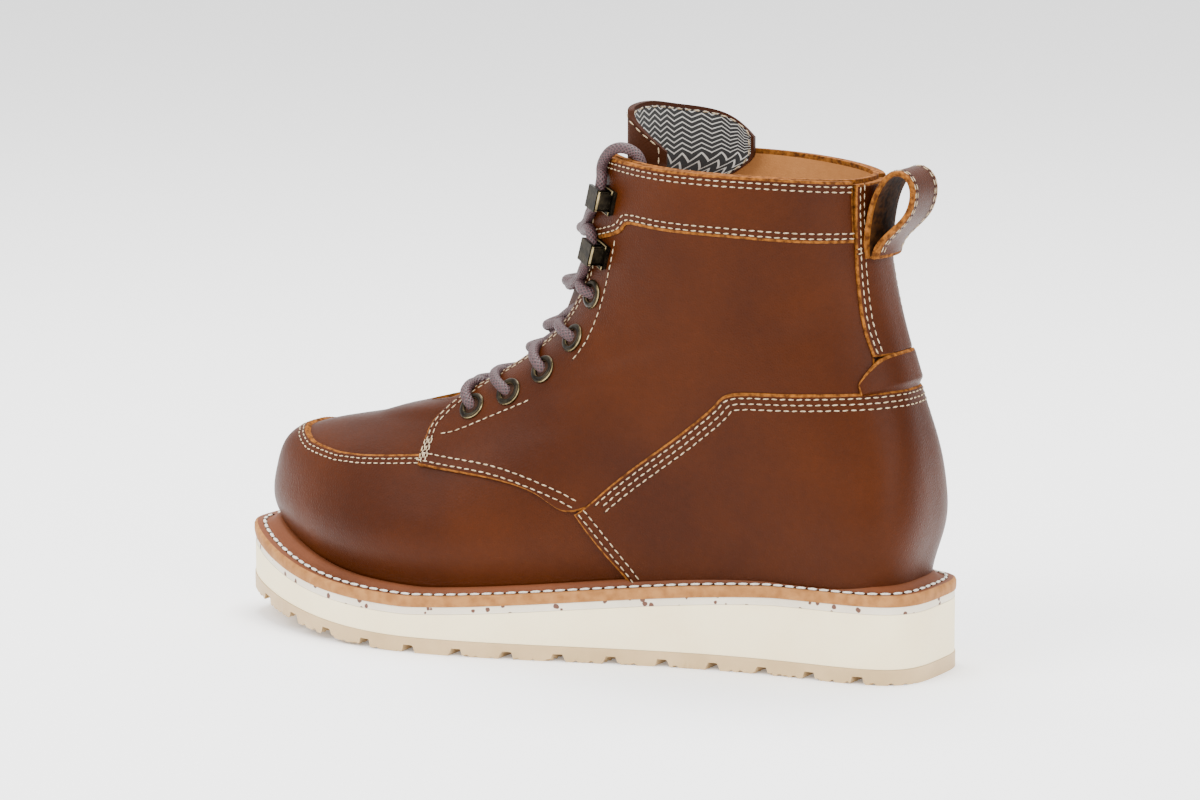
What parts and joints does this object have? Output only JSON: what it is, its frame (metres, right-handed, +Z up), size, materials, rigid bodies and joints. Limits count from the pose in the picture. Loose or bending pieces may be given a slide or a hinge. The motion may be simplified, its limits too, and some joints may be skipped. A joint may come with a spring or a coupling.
{
  "type": "wedge sole work boot",
  "caption": "Left lace-up ankle work boot with a moccasin-seam toe, high collar, pull loop and a flat wedge sole on a stitched welt.",
  "frame": {"origin": "middle of the box, on the floor under the sole", "axes": "+X to the toe, +Y to the lateral (outer) side of a left foot, +Z up"},
  "size_m": [0.306, 0.1067, 0.2181],
  "materials": {
    "brown_leather": "waxed pull-up leather, satin",
    "loop_leather": "smooth outside, rough flesh side inside",
    "cream_tread": "matt rubber",
    "cream_wedge": "matt foam rubber",
    "speckled_layer": "matt, brown specks",
    "tan_welt": "raw edge, dyed top",
    "insole_board": "matt",
    "antique_brass": "antique, dark",
    "plum_cord": "waxed round braid"
  },
  "bodies": {
    "root": {"upper": "brown_leather", "quarter_lateral": "brown_leather", "quarter_medial": "brown_leather", "heel_counter": "brown_leather", "collar_band_lateral": "brown_leather", "collar_band_medial": "brown_leather", "back_strap": "brown_leather", "heel_tab": "brown_leather", "tongue": "brown_leather", "pull_loop": "loop_leather", "outsole": "cream_tread", "wedge_midsole": "cream_wedge", "speckled_midsole": "speckled_layer", "welt": "tan_welt", "insole": "insole_board", "eyelet_1": "antique_brass", "eyelet_2": "antique_brass", "eyelet_3": "antique_brass", "eyelet_4": "antique_brass", "eyelet_5": "antique_brass", "eyelet_6": "antique_brass", "eyelet_7": "antique_brass", "eyelet_8": "antique_brass", "eyelet_9": "antique_brass", "eyelet_10": "antique_brass", "lace_hook_1": "antique_brass", "lace_hook_2": "antique_brass", "lace_hook_3": "antique_brass", "lace_hook_4": "antique_brass", "lace_crossing_1": "plum_cord", "lace_crossing_2": "plum_cord", "lace_crossing_3": "plum_cord", "lace_crossing_4": "plum_cord", "lace_crossing_5": "plum_cord", "lace_crossing_6": "plum_cord"}
  },
  "joints": []
}
